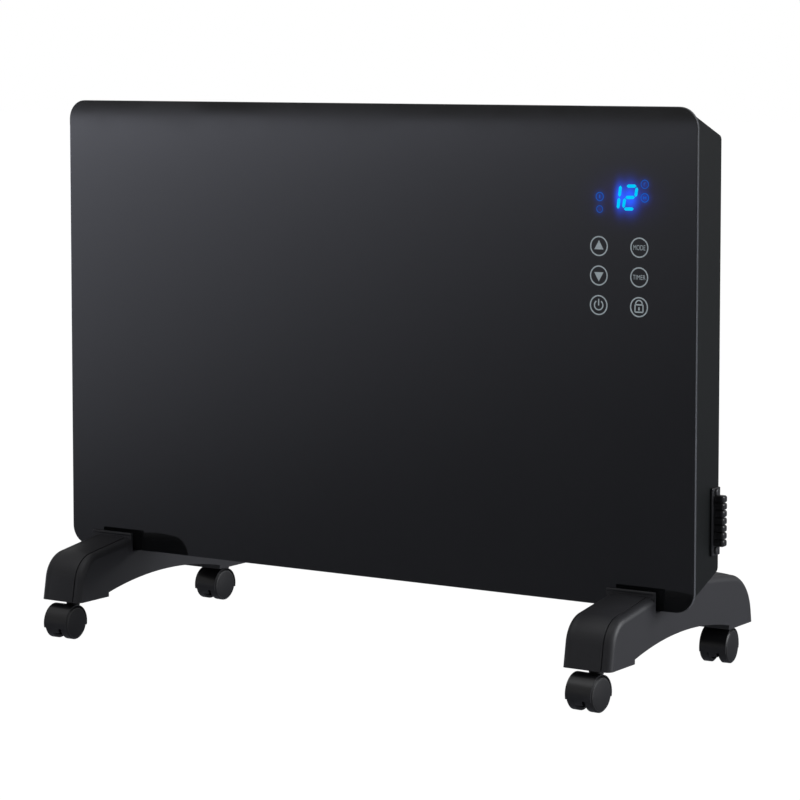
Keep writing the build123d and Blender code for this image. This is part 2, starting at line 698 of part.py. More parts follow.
def switch_housing():
    """Snap-in housing of the rocker: rim outside the wall, body inside, a well with two pivot holes."""
    y1 = CASE_BACK + SWITCH_RIM
    rim = block(
        (SWITCH_X - SWITCH_W / 2, SWITCH_X + SWITCH_W / 2),
        (CASE_BACK, y1),
        (SWITCH_Z - SWITCH_H / 2, SWITCH_Z + SWITCH_H / 2),
    )
    body = block(
        (SWITCH_X - SWITCH_BODY_W / 2, SWITCH_X + SWITCH_BODY_W / 2),
        (y1 - SWITCH_BODY_D, CASE_BACK),
        (SWITCH_Z - SWITCH_BODY_H / 2, SWITCH_Z + SWITCH_BODY_H / 2),
    )
    half_w = ROCKER_W / 2 + ROCKER_GAP
    half_h = ROCKER_H / 2 + WELL_END_GAP
    well = block(
        (SWITCH_X - half_w, SWITCH_X + half_w),
        (y1 - 2 * ROCKER_PIVOT - WELL_FLOOR, y1 + THROUGH),
        (SWITCH_Z - half_h, SWITCH_Z + half_h),
    )
    pin = rod_x(
        ROCKER_PIN_R + RUNNING_GAP,
        SWITCH_X - SWITCH_BODY_W / 2 - THROUGH,
        SWITCH_X + SWITCH_BODY_W / 2 + THROUGH,
        y1 - ROCKER_PIVOT,
        SWITCH_Z,
    )
    tabs = []
    for up in (-1, 0, 1):
        z = SWITCH_Z + up * SWITCH_TAB_PITCH
        tabs.append(block(
            (SWITCH_X - TAB_W / 2, SWITCH_X + TAB_W / 2),
            (y1 - SWITCH_BODY_D - SWITCH_TAB_L, y1 - SWITCH_BODY_D),
            (z - TAB_T / 2, z + TAB_T / 2),
        ))
    return rim + body + tabs - well - pin


def rocker():
    """Rocker pressed on its upper half: a shallow V across the top, a round hub and two pivot pins."""
    tip = ROCKER_H / 2
    top = side_face(
        (-ROCKER_DIP, 0),
        (ROCKER_HORN, tip),
        (-ROCKER_SKIRT, tip),
        (-ROCKER_PIVOT, ROCKER_HUB_R),
        (-ROCKER_PIVOT, -ROCKER_HUB_R),
        (-ROCKER_SKIRT, -tip),
        (ROCKER_HORN, -tip),
    )
    key = across(top, ROCKER_W / 2)
    key += rod_x(ROCKER_HUB_R, -ROCKER_W / 2, ROCKER_W / 2, -ROCKER_PIVOT, 0)
    pin = SWITCH_BODY_W / 2 - SEAT_GAP
    key += rod_x(ROCKER_PIN_R, -pin, pin, -ROCKER_PIVOT, 0)
    turned = Rot(ROCKER_TILT, 0, 0) * Pos(0, ROCKER_PIVOT, 0) * key
    return Pos(SWITCH_X, CASE_BACK + SWITCH_RIM - ROCKER_PIVOT, SWITCH_Z) * turned


def cord_gland():
    """Strain relief bush: a tapered head outside the wall and a body through it."""
    head = Cone(GLAND_HEAD_R, GLAND_BODY_R, GLAND_HEAD_L)
    head = Pos(GLAND_X, CASE_BACK + GLAND_HEAD_L / 2, GLAND_Z) * Rot(-90, 0, 0) * head
    tail = rod_y(GLAND_BODY_R, CASE_BACK - GLAND_TAIL_L, CASE_BACK, GLAND_X, GLAND_Z)
    ends = (CASE_BACK - GLAND_TAIL_L - THROUGH, CASE_BACK + GLAND_HEAD_L + THROUGH)
    bore = rod_y(GLAND_BORE_R, *ends, GLAND_X, GLAND_Z)
    return head + tail - bore


def gland_nut():
    """Six-sided nut that clamps the gland from inside."""
    ring = RegularPolygon(GLAND_NUT_R, 6) - Circle(GLAND_BODY_R)
    nut = extrude(Plane.XZ * ring, GLAND_NUT_L)
    return Pos(GLAND_X, INNER_BACK, GLAND_Z) * nut


def sensor_guard():
    """Moulded cover over the room sensor: a flange with rounded ends and a block of open ribs."""
    plate = RectangleRounded(GUARD_W, GUARD_H, GUARD_CORNER_R)
    flange = extrude(Plane.YZ * plate, GUARD_T)
    wide = (-GUARD_BLOCK_W / 2, GUARD_BLOCK_W / 2)
    core = block((0, GUARD_CORE_OUT), wide, (-GUARD_BLOCK_H / 2, GUARD_BLOCK_H / 2))
    for rib in range(GUARD_RIBS):
        z = (rib - (GUARD_RIBS - 1) / 2) * GUARD_PITCH
        tongue = block((0, GUARD_BLOCK_OUT), wide, (z - GUARD_RIB_T / 2, z + GUARD_RIB_T / 2))
        nose = tongue.edges().filter_by(Axis.Y).group_by(Axis.X)[-1]
        core += fillet(nose, GUARD_RIB_ROUND)
    core += flange
    core -= rod_x(SENSOR_R + SENSOR_GAP, -THROUGH, SENSOR_L + SENSOR_GAP / 2 - CASE_T, 0, 0)
    for up in (-1, 1):
        core -= rod_x(SCREW_R / 2 + HOLE_GAP, -THROUGH, GUARD_T + THROUGH, 0, up * GUARD_SCREW_Z)
    return Pos(CASE_HALF, GUARD_Y, GUARD_Z) * core


def guard_screws():
    """Two round-headed screws through the guard's flange into the side wall."""
    screws = []
    for up in (-1, 1):
        z = GUARD_Z + up * GUARD_SCREW_Z
        x = CASE_HALF + GUARD_T
        head = rod_x(GUARD_SCREW_R, x, x + GUARD_SCREW_HEAD, GUARD_Y, z)
        head = fillet(head.edges().filter_by(GeomType.CIRCLE).group_by(Axis.X)[-1], GUARD_SCREW_ROUND)
        screws.append(head + rod_x(SCREW_R / 2, x - GUARD_SCREW_L, x, GUARD_Y, z))
    return screws


def room_sensor():
    """Temperature bead in the guard, on its stem through the side wall."""
    x = CASE_HALF - CASE_T
    bead = rod_x(SENSOR_R, x - SENSOR_TAIL, x + SENSOR_L - SENSOR_R, GUARD_Y, GUARD_Z)
    tip = Pos(x + SENSOR_L - SENSOR_R, GUARD_Y, GUARD_Z) * Sphere(SENSOR_R)
    washer = rod_x(SENSOR_R + SENSOR_WASHER, x - SENSOR_WASHER, x, GUARD_Y, GUARD_Z)
    return bead + tip + washer


def foot_outline():
    """Side view of a foot without its saddle, nose and heel rounded."""
    pad_front = -FOOT_FRONT + PAD_FRONT_L
    pad_rear = FOOT_REAR - PAD_REAR_L
    arch_z = FOOT_BASE_Z + PAD_STEP
    crown = ((pad_front + pad_rear) / 2, arch_z + ARCH_RISE)
    under = ThreePointArc((pad_rear, arch_z), crown, (pad_front, arch_z))
    rest = Polyline(
        (pad_front, arch_z),
        (pad_front, FOOT_BASE_Z),
        (-FOOT_FRONT, FOOT_BASE_Z),
        (-FOOT_NOSE[0], FOOT_NOSE[1]),
        (-LEDGE_Y, FOOT_NECK_Z),
        (CASE_BACK, FOOT_BACK_Z),
        FOOT_HEEL,
        (FOOT_REAR, FOOT_BASE_Z),
        (pad_rear, FOOT_BASE_Z),
        (pad_rear, arch_z),
    )
    face = Plane.YZ * make_face(under + rest)
    nose = face.vertices().sort_by_distance((0, -FOOT_NOSE[0], FOOT_NOSE[1]))[0]
    face = fillet(nose, FOOT_NOSE_R)
    heel = face.vertices().sort_by_distance((0, FOOT_HEEL[0], FOOT_HEEL[1]))[0]
    return fillet(heel, FOOT_HEEL_R)


def foot(side):
    """Moulded foot: arched beam with rounded edges and grooves, saddle, hollow underside, two sockets."""
    outline = foot_outline()
    half = FOOT_W / 2
    beam = across(outline, half)
    step_y = CASE_BACK + SEAT_GAP
    step_z = case_bottom(step_y) - SEAT_GAP
    pad_front = -FOOT_FRONT + PAD_FRONT_L
    pad_rear = FOOT_REAR - PAD_REAR_L
    arch_top = FOOT_BASE_Z + PAD_STEP + ARCH_RISE

    def on_top(edge):
        centre = edge @ 0.5
        flat = abs(abs(centre.X) - half) < 0.01
        above_pads = centre.Z > FOOT_BASE_Z + 2 * PAD_STEP
        in_arch = pad_front < centre.Y < pad_rear and centre.Z < arch_top + 1
        return flat and above_pads and not in_arch
    beam = fillet([edge for edge in beam.edges() if on_top(edge)], FOOT_EDGE_R)
    skin = outline - offset(outline, -GROOVE_DEPTH, kind=Kind.INTERSECTION)
    for place in (-GROOVE_X, GROOVE_X):
        line = across(skin, GROOVE_W / 2, place)
        ahead = block((-half, half), (-FOOT_FRONT - 1, -LEDGE_Y), (FOOT_BASE_Z + 1, LEDGE_TOP))
        behind = block((-half, half), (step_y + STOP_T, FOOT_REAR + 1), (arch_top, LEDGE_TOP + STOP_RISE))
        beam -= line & ahead
        beam -= line & behind
    glass_back = CASE_FRONT - SEAT_GAP
    kerb_z = case_bottom(glass_back) - SEAT_GAP
    notch = side_face(
        (-LEDGE_Y + LEDGE_T, SADDLE_Z),
        (glass_back, SADDLE_Z),
        (glass_back, kerb_z),
        (step_y, step_z),
        (step_y, LEDGE_TOP + FOOT_HEEL_R),
        (-LEDGE_Y + LEDGE_T, LEDGE_TOP + FOOT_HEEL_R),
    )
    saddle = side_face(
        (-LEDGE_Y, SADDLE_Z - FOOT_WALL),
        (-LEDGE_Y, LEDGE_TOP),
        (-LEDGE_Y + LEDGE_T, LEDGE_TOP),
        (-LEDGE_Y + LEDGE_T, SADDLE_Z),
        (glass_back, SADDLE_Z),
        (glass_back, kerb_z),
        (step_y, step_z),
        (step_y, step_z + STOP_RISE),
        (step_y + STOP_T, step_z + STOP_RISE),
        (step_y + STOP_T, SADDLE_Z - FOOT_WALL),
    )
    body = beam - across(notch, half + 1) + across(saddle, half)

    def pocket(y0, y1, z0, z1):
        shape = side_face((y0, FOOT_BASE_Z - 5), (y1, FOOT_BASE_Z - 5), (y1, z1), (y0, z0))
        return across(shape, half - FOOT_WALL)

    middle = (glass_back + step_y) / 2
    rise = BOTTOM_FALL / CASE_DEPTH
    under = kerb_z - FOOT_WALL
    rear_mid = (step_y + pad_rear) / 2
    body -= pocket(pad_front + RIB_T, -LEDGE_Y - RIB_T, FOOT_NOSE[1], FOOT_NECK_Z - 2 * FOOT_WALL)
    body -= pocket(-LEDGE_Y, glass_back, SADDLE_Z - FOOT_WALL, SADDLE_Z - FOOT_WALL)
    body -= pocket(glass_back + RIB_T, middle, under + RIB_T * rise, under + (middle - glass_back) * rise)
    body -= pocket(middle + RIB_T, step_y - RIB_T, under + (middle + RIB_T - glass_back) * rise,
                   under + (step_y - RIB_T - glass_back) * rise)
    body -= pocket(step_y + STOP_T, rear_mid, FOOT_BACK_Z - 2 * FOOT_WALL, FOOT_BACK_Z - 3 * FOOT_WALL)
    body -= pocket(rear_mid + RIB_T, pad_rear - RIB_T, FOOT_BACK_Z - 3 * FOOT_WALL, FOOT_HEEL[1])
    for y in (SWIVEL_FRONT_Y, SWIVEL_REAR_Y):
        body += rod_z(COLLAR_R, COLLAR_Z, FOOT_BASE_Z + 2, 0, y)
        body -= rod_z(STEM_R + RUNNING_GAP, COLLAR_Z - 1, STEM_TOP_Z + SEAT_GAP, 0, y)
    for y in FOOT_SCREW_Y:
        body -= foot_screw_axis(0, y) * Cylinder(SCREW_R + HOLE_GAP, 4 * FOOT_WALL)
    return Pos(side * FOOT_X, 0, 0) * body


def foot_screws(side):
    """Two screws up through a foot's saddle into the case's bottom."""
    screws = []
    under = SEAT_GAP * cos(BOTTOM_SLOPE) + FOOT_WALL * cos(BOTTOM_SLOPE)
    for y in FOOT_SCREW_Y:
        head = Pos(0, 0, -under - SCREW_HEAD_L / 2) * Cylinder(SCREW_HEAD_R, SCREW_HEAD_L)
        shank = Pos(0, 0, (NUT_L + CASE_T + 1 - under) / 2) * Cylinder(SCREW_R, under + NUT_L + CASE_T + 1)
        screws.append(foot_screw_axis(side * FOOT_X, y) * (head + shank))
    return screws


def foot_nuts(side):
    """Nuts of the foot screws, on the inside of the case's bottom."""
    nuts = []
    for y in FOOT_SCREW_Y:
        nut = extrude(RegularPolygon(NUT_R, 6) - Circle(SCREW_R), NUT_L)
        nuts.append(foot_screw_axis(side * FOOT_X, y) * Pos(0, 0, CASE_T) * nut)
    return nuts


def castor_wheel(side):
    """One wheel of a castor, its axle along X at the origin: tread, domed face, hub and hollow back."""
    rim_r = WHEEL_R - WHEEL_RIM
    shoulder_r = WHEEL_R - WHEEL_SHOULDER
    hub_end = AXLE_HALF_L + RUNNING_GAP
    dome_r = (shoulder_r ** 2 + WHEEL_DOME ** 2) / (2 * WHEEL_DOME)
    tyre = rod_x(WHEEL_R, WHEEL_IN, WHEEL_OUT, 0, 0)
    tyre = chamfer(tyre.edges().filter_by(GeomType.CIRCLE), WHEEL_SHOULDER)
    dome = Pos(WHEEL_OUT + WHEEL_DOME - dome_r, 0, 0) * Sphere(dome_r)
    cap = rod_x(shoulder_r, WHEEL_OUT - WHEEL_SHOULDER, WHEEL_OUT + WHEEL_DOME, 0, 0) & dome
    hollow = rod_x(rim_r, WHEEL_IN - 1, WHEEL_WEB_X, 0, 0) - rod_x(HUB_R, WHEEL_IN - 1, WHEEL_WEB_X, 0, 0)
    wheel = tyre + cap - hollow - rod_x(AXLE_R + RUNNING_GAP, WHEEL_IN - 1, hub_end, 0, 0)
    return wheel if side > 0 else mirror(wheel, Plane.YZ)


def castor_hood():
    """Hood over both wheels with the web that carries axle and stem, scooped round the foot's collar."""
    axle_y = -TRAIL
    hollow_r = HOOD_R - HOOD_T
    hood = rod_x(HOOD_R, -HOOD_HALF_W, HOOD_HALF_W, axle_y, WHEEL_R)
    reach = (axle_y - 2 * HOOD_R, axle_y + 2 * HOOD_R)
    for side in (-1, 1):
        span = sorted((side * HOOD_WEB_HALF, side * (HOOD_HALF_W + THROUGH)))
        hood -= rod_x(hollow_r, span[0], span[1], axle_y, WHEEL_R)
        hood -= block(span, reach, (-HOOD_R, HOOD_LIP_Z))
    hood -= block((-HOOD_HALF_W, HOOD_HALF_W), reach, (-HOOD_R, HOOD_WEB_Z))
    top = COLLAR_Z - SEAT_GAP
    hood += rod_z(HOOD_WEB_HALF, WHEEL_R, top, 0, 0)
    hood -= rod_z(COLLAR_R + SCOOP_GAP, top, top + HOOD_R, 0, 0)
    hood -= rod_z(STEM_R, STEM_BOTTOM_Z, top + 1, 0, 0)
    hood -= rod_x(AXLE_R, -HOOD_HALF_W, HOOD_HALF_W, axle_y, WHEEL_R)
    return hood


def castor_stem():
    """Steel stem fixed in the hood and turning in the foot's socket, with a snap groove."""
    stem = rod_z(STEM_R, STEM_BOTTOM_Z, STEM_TOP_Z, 0, 0)
    stem = chamfer(stem.edges().group_by(Axis.Z)[-1], 0.8)
    ring = rod_z(STEM_R + 1, STEM_GROOVE_Z, STEM_GROOVE_Z + 1.5, 0, 0)
    ring -= rod_z(STEM_R - 0.6, STEM_GROOVE_Z - 1, STEM_GROOVE_Z + 2.5, 0, 0)
    return stem - ring


def castor_axle():
    """Steel axle through the hood's web."""
    return rod_x(AXLE_R, -AXLE_HALF_L, AXLE_HALF_L, -TRAIL, WHEEL_R)


def castor_place(name):
    """Where a castor's swivel axis stands and how the castor is turned at rest."""
    side, y, turn = CASTORS[name]
    return Pos(side * FOOT_X, y, 0) * Rot(0, 0, turn)


def save(name, shape):
    """Move a piece into the heater's frame and write it as its own node."""
    solids = shape if isinstance(shape, list) else [shape]
    moved = [Pos(0, GLASS_Y, 0) * solid for solid in solids]
    node = moved[0] if len(moved) == 1 else Compound(children=moved)
    node.label = name
    export_step(node, f"parts/{name}.step")


def main():
    os.makedirs("parts", exist_ok=True)
    save("glass_panel", glass_panel())
    save("glass_bond", glass_bond())
    save("rear_case", rear_case())
    save("front_plate", front_plate())
    save("touch_board", touch_board())
    save("board_carrier", board_carrier())
    save("touch_springs", touch_springs())
    save("display_module", display_module())
    save("heating_element", heating_element())
    save("heat_shield", heat_shield())
    save("thermal_cutout", thermal_cutout())
    save("thermal_fuse", thermal_fuse())
    save("tip_switch", tip_switch())
    save("compartment_wall", compartment_wall())
    save("power_board", power_board())
    save("board_standoffs", board_standoffs())
    save("relays", relays())
    save("terminal_block", terminal_block())
    save("switch_housing", switch_housing())
    save("rocker", rocker())
    save("cord_gland", cord_gland())
    save("gland_nut", gland_nut())
    save("sensor_guard", sensor_guard())
    save("guard_screws", guard_screws())
    save("room_sensor", room_sensor())
    for side, word in ((-1, "left"), (1, "right")):
        save(f"element_insulator_{word}", element_insulator(side))
        save(f"element_terminal_{word}", element_terminal(side))
        save(f"element_bracket_{word}", element_bracket(side))
        save(f"foot_{word}", foot(side))
        save(f"foot_screws_{word}", foot_screws(side))
        save(f"foot_nuts_{word}", foot_nuts(side))
    axle = Pos(0, -TRAIL, WHEEL_R)
    for name in CASTORS:
        place = castor_place(name)
        save(f"castor_hood_{name}", place * castor_hood())
        save(f"castor_stem_{name}", place * castor_stem())
        save(f"castor_axle_{name}", place * castor_axle())
        save(f"wheel_{name}_a", place * axle * castor_wheel(-1))
        save(f"wheel_{name}_b", place * axle * castor_wheel(1))


main()
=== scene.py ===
import bmesh
import bpy
import numpy as np
from math import radians
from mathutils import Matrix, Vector


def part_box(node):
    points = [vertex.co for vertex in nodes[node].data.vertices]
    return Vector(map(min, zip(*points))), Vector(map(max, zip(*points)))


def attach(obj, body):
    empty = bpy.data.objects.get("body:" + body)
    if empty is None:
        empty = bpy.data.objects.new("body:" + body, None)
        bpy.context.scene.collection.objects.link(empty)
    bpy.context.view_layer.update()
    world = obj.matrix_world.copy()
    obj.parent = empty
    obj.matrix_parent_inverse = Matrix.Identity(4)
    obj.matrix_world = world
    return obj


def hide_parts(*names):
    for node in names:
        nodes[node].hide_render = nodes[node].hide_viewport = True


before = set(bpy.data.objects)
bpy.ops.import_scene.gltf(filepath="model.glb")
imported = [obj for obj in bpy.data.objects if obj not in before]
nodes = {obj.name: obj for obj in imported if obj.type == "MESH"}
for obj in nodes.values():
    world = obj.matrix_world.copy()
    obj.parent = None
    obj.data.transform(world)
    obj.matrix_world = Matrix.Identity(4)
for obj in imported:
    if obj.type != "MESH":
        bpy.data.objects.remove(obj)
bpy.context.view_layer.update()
MM = 0.001

# The photographer's view: a long lens at the height of the panel's top, off to the right, looking a
# little down. A small shift keeps the panel's upright edges nearly upright, as in the photograph.
LENS = 130.86
SENSOR_WIDTH = 36.0
VIEW_PLACE = (1.5240, -2.3208, 0.5728)
VIEW_TURN = 32.971
VIEW_DOWN = 4.587
VIEW_SHIFT = (-0.0039, -0.14)
camera = bpy.data.objects.new("camera", bpy.data.cameras.new("camera"))
camera.data.lens = LENS
camera.data.sensor_width = SENSOR_WIDTH
camera.data.shift_x, camera.data.shift_y = VIEW_SHIFT
camera.location = VIEW_PLACE
camera.rotation_euler = (radians(90 - VIEW_DOWN), 0, radians(VIEW_TURN))
bpy.context.scene.collection.objects.link(camera)
bpy.context.scene.camera = camera
bpy.context.scene.view_settings.view_transform = "Standard"


# The studio: a pale floor that shows as white paper to the camera and keeps a faint shadow, a white
# sky for the camera, a grey one for everything else, and two large soft lamps.
def shader(name):
    """New empty node material, returned with the function that adds nodes to it."""
    material = bpy.data.materials.new(name)
    material.use_nodes = True
    material.node_tree.nodes.clear()
    return material, adder(material.node_tree)


def adder(tree):
    """Function that adds one node of a kind, sets its properties and wires or sets its inputs."""
    def add(kind, inputs=None, **properties):
        node = tree.nodes.new("ShaderNode" + kind)
        for key, value in properties.items():
            setattr(node, key, value)
        for key, value in (inputs or {}).items():
            if isinstance(value, bpy.types.NodeSocket):
                tree.links.new(value, node.inputs[key])
            else:
                node.inputs[key].default_value = value
        return node
    return add


FLOOR_SIZE = 40.0
FLOOR_WHITE = 0.86
# share of plain white in what the camera sees of the floor; the rest keeps the faint shadow
PAPER_SHARE = 0.975
PAPER_GLOW = 1.03
# what polished faces see of the floor at a distance d, with s its leftward share:
# near level + gain sqrt(d) exp(slope (s - start)), so it is brighter far off and to the left
NEAR_LEVEL = 0.2
LEFT_GAIN = 0.2725
LEFT_SLOPE = 6.0
LEFT_START = 0.575
NEAR_RADIUS = 1.2
BRIGHT_END = 10.0
GLOSS_TINT = (0.96, 0.985, 1.13, 1)
paper, add = shader("studio_paper")
light_path = add("LightPath")
spot = add("TexCoord").outputs["Object"]
spread = add("VectorMath", {0: spot}, operation="LENGTH").outputs["Value"]
squared = add("Math", {0: spread, 1: spread, 2: NEAR_RADIUS ** 2}, operation="MULTIPLY_ADD")
softened = add("Math", {0: squared.outputs[0]}, operation="SQRT")
sideways = add("SeparateXYZ", {0: spot}).outputs["X"]
right_share = add("Math", {0: sideways, 1: softened.outputs[0]}, operation="DIVIDE")
power = add("Math", {
    0: right_share.outputs[0], 1: -LEFT_SLOPE, 2: -LEFT_SLOPE * LEFT_START}, operation="MULTIPLY_ADD")
lean = add("Math", {0: power.outputs[0]}, operation="EXPONENT")
root = add("Math", {0: spread}, operation="SQRT")
both_ways = add("Math", {0: lean.outputs[0], 1: root.outputs[0]}, operation="MULTIPLY")
far_paper = add("MapRange", {
    "Value": both_ways.outputs[0], "From Min": 0.0, "From Max": BRIGHT_END,
    "To Min": NEAR_LEVEL, "To Max": NEAR_LEVEL + BRIGHT_END * LEFT_GAIN})
matt = add("BsdfDiffuse", {"Color": (FLOOR_WHITE, FLOOR_WHITE, FLOOR_WHITE, 1)})
to_camera = add("Emission", {"Color": (1, 1, 1, 1), "Strength": PAPER_GLOW})
to_gloss = add("Emission", {"Color": GLOSS_TINT, "Strength": far_paper.outputs["Result"]})
share = add("Math", {0: light_path.outputs["Is Camera Ray"], 1: PAPER_SHARE}, operation="MULTIPLY")
seen = add("MixShader", {0: share.outputs[0], 1: matt.outputs[0], 2: to_camera.outputs[0]})
glossy = add("MixShader", {
    0: light_path.outputs["Is Glossy Ray"], 1: seen.outputs[0], 2: to_gloss.outputs[0]})
add("OutputMaterial", {"Surface": glossy.outputs[0]})
floor_mesh = bpy.data.meshes.new("studio_floor")
half = FLOOR_SIZE / 2
corners = [(-half, -half, 0), (half, -half, 0), (half, half, 0), (-half, half, 0)]
floor_mesh.from_pydata(corners, [], [(0, 1, 2, 3)])
floor = bpy.data.objects.new("studio_floor", floor_mesh)
floor_mesh.materials.append(paper)
bpy.context.scene.collection.objects.link(floor)

SKY_FILL = 0.30
SKY_TOP = 0.45
SKY_SPAN = (-0.05, 0.9)
world = bpy.data.worlds.new("studio_sky")
bpy.context.scene.world = world
world.use_nodes = True
world.node_tree.nodes.clear()
add = adder(world.node_tree)
light_path = add("LightPath")
height = add("SeparateXYZ", {0: add("TexCoord").outputs["Generated"]})
sky_level = add("MapRange", {
    "Value": height.outputs["Z"], "From Min": SKY_SPAN[0], "From Max": SKY_SPAN[1],
    "To Min": SKY_FILL, "To Max": SKY_TOP})
grey = add("Background", {"Color": (1, 1, 1, 1), "Strength": sky_level.outputs["Result"]})
white = add("Background", {"Color": (1, 1, 1, 1), "Strength": 1.0})
sky = add("MixShader", {0: light_path.outputs["Is Camera Ray"], 1: grey.outputs[0], 2: white.outputs[0]})
add("OutputWorld", {"Surface": sky.outputs[0]})

LAMP_WHITE = (0.95, 0.97, 1.0)


def softbox(name, place, aim, size, power):
    """Square area lamp of a size in metres, turned from its place towards a point."""
    lamp = bpy.data.objects.new(name, bpy.data.lights.new(name, "AREA"))
    lamp.data.size = size
    lamp.data.energy = power
    lamp.data.color = LAMP_WHITE
    lamp.location = place
    away = Vector(place) - Vector(aim)
    lamp.rotation_euler = away.to_track_quat("Z", "Y").to_euler()
    bpy.context.scene.collection.objects.link(lamp)


softbox("lamp_right", (3.0, 1.1, 1.2), (0.2, 0.0, 0.1), 1.8, 125)
softbox("lamp_top", (-0.6, -1.2, 2.8), (0.0, 0.0, 0.3), 2.0, 16)


# The glass panel: one toughened sheet, 4 mm thick, printed black on its back, with its corners
# rounded and every edge ground to a narrow polished bevel. It is bonded to the case's front flange.
def grid_faces(rows, columns, wrap_rows, wrap_columns):
    """Quads that join neighbouring points of a grid, row by row, as an index array."""
    r = np.arange(rows if wrap_rows else rows - 1)
    c = np.arange(columns if wrap_columns else columns - 1)
    a, b = np.meshgrid(r, c, indexing="ij")
    a2, b2 = (a + 1) % rows, (b + 1) % columns
    quads = np.stack([a * columns + b, a2 * columns + b, a2 * columns + b2, a * columns + b2], axis=-1)
    return quads.reshape(-1, 4)


def skin(points, wrap_rows=False, wrap_columns=False, cap_rows=False):
    """A grid of points (rows, columns, 3) as vertices and faces; both end rows may be capped."""
    rows, columns = points.shape[:2]
    faces = grid_faces(rows, columns, wrap_rows, wrap_columns).tolist()
    if cap_rows:
        faces.append(list(range(columns)))
        faces.append(list(range((rows - 1) * columns, rows * columns))[::-1])
    return points.reshape(-1, 3), faces


def piece(name, skins, body="heater", sharp=35.0, weld=2e-6):
    """One object from several skins: welded, turned outwards, smooth up to the sharp angle."""
    verts, faces, start = [], [], 0
    for points, quads in skins:
        verts.append(points)
        faces += [[start + i for i in quad] for quad in quads]
        start += len(points)
    mesh = bpy.data.meshes.new(name)
    mesh.from_pydata(np.concatenate(verts).tolist(), [], faces)
    work = bmesh.new()
    work.from_mesh(mesh)
    bmesh.ops.remove_doubles(work, verts=work.verts, dist=weld)
    bmesh.ops.dissolve_degenerate(work, edges=work.edges, dist=weld)
    bmesh.ops.recalc_face_normals(work, faces=work.faces)
    work.to_mesh(mesh)
    work.free()
    mesh.polygons.foreach_set("use_smooth", [True] * len(mesh.polygons))
    mesh.set_sharp_from_angle(angle=radians(sharp))
    made = bpy.data.objects.new(name, mesh)
    bpy.context.scene.collection.objects.link(made)
    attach(made, body)
    return made


def dress(made, material):
    """Give a piece its material."""
    made.data.materials.clear()
    made.data.materials.append(material)


def rounded_box_ring(half_w, half_h, corner, steps=14):
    """Points round a rectangle: corner centre + corner (cos a, sin a) over each quarter turn."""
    turn = np.linspace(0, np.pi / 2, steps)
    ring = []
    for k, (sx, sy) in enumerate(((1, 1), (-1, 1), (-1, -1), (1, -1))):
        angle = turn + k * np.pi / 2
        centre = np.array([sx * (half_w - corner), sy * (half_h - corner)])
        ring.append(centre + corner * np.stack([np.cos(angle), np.sin(angle)], axis=-1))
    return np.concatenate(ring)


def plate_with_bevel(centre_x, centre_z, half_w, half_h, corner, y0, y1, bevel):
    """Upright plate from y0 to y1 whose outline shrinks by the bevel at both faces."""
    rows = []
    for y, inset in ((y0, bevel), (y0 + bevel, 0.0), (y1 - bevel, 0.0), (y1, bevel)):
        ring = rounded_box_ring(half_w - inset, half_h - inset, corner - inset)
        depth = np.full(len(ring), y)
        rows.append(np.stack([ring[:, 0] + centre_x, depth, ring[:, 1] + centre_z], axis=-1))
    return skin(np.array(rows), wrap_columns=True, cap_rows=True)


glass_lo, glass_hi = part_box("glass_panel")
GLASS_CORNER = 19 * MM
GLASS_BEVEL = 0.5 * MM
glass_z = (glass_lo.z + glass_hi.z) / 2
glass_half_h = (glass_hi.z - glass_lo.z) / 2
panel = piece("glass_sheet", [plate_with_bevel(
    0.0, glass_z, glass_hi.x, glass_half_h, GLASS_CORNER, glass_lo.y, glass_hi.y, GLASS_BEVEL)])
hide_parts("glass_panel")

# The black print behind clear glass: nearly no colour of its own, a mirror-like face with the
# faintest uneven haze of handling, and the blue glow that the lit digits throw into the sheet.
DIGIT_Z = 446.2 * MM
# middle and half sizes of each patch of glow in metres, and its strength
NEAR_GLOW = (
    (276.5 * MM, DIGIT_Z, 4.2 * MM, 10.5 * MM, 1.0),
    (287.1 * MM, DIGIT_Z, 7.6 * MM, 11.0 * MM, 1.1),
    (256.4 * MM, 446.3 * MM, 4.6 * MM, 4.6 * MM, 0.16),
    (256.4 * MM, 435.1 * MM, 4.2 * MM, 4.2 * MM, 0.13),
    (301.9 * MM, 458.3 * MM, 4.6 * MM, 4.6 * MM, 0.16),
    (302.0 * MM, 446.3 * MM, 4.8 * MM, 4.8 * MM, 0.24),
)
FAR_GLOW = (282.9 * MM, DIGIT_Z, 25.0 * MM, 17.0 * MM, 1.0)
NEAR_BLUE = (0.0, 0.09, 1.0)
FAR_BLUE = (0.006, 0.002, 0.05)
# the ground edges look greyer than the face
EDGE_GREY = (0.045, 0.047, 0.052, 1)
coat, add = shader("black_printed_glass")
place = add("TexCoord").outputs["Object"]
haze = add("TexNoise", {"Vector": place, "Scale": 9.0, "Detail": 3.0, "Roughness": 0.6})
rough = add("MapRange", {
    "Value": haze.outputs["Fac"], "From Min": 0.35, "From Max": 0.7, "To Min": 0.035, "To Max": 0.06})
tint = add("MixRGB", {
    "Fac": haze.outputs["Fac"],
    "Color1": (0.0035, 0.0037, 0.0042, 1), "Color2": (0.0055, 0.0057, 0.0062, 1)})


def glow_near(x, z, half_w, half_h, strength):
    """Node value strength * exp(-q), q the squared distance from a point in units of the half sizes."""
    scale = (1 / half_w, 0, 1 / half_h)
    centre = add("Mapping", {"Vector": place, "Location": (-x / half_w, 0, -z / half_h), "Scale": scale})
    reach = add("VectorMath", {0: centre.outputs[0], 1: centre.outputs[0]}, operation="DOT_PRODUCT")
    minus = add("Math", {0: reach.outputs["Value"], 1: -1.0}, operation="MULTIPLY")
    fall = add("Math", {0: minus.outputs[0]}, operation="EXPONENT")
    return add("Math", {0: fall.outputs[0], 1: strength}, operation="MULTIPLY").outputs[0]


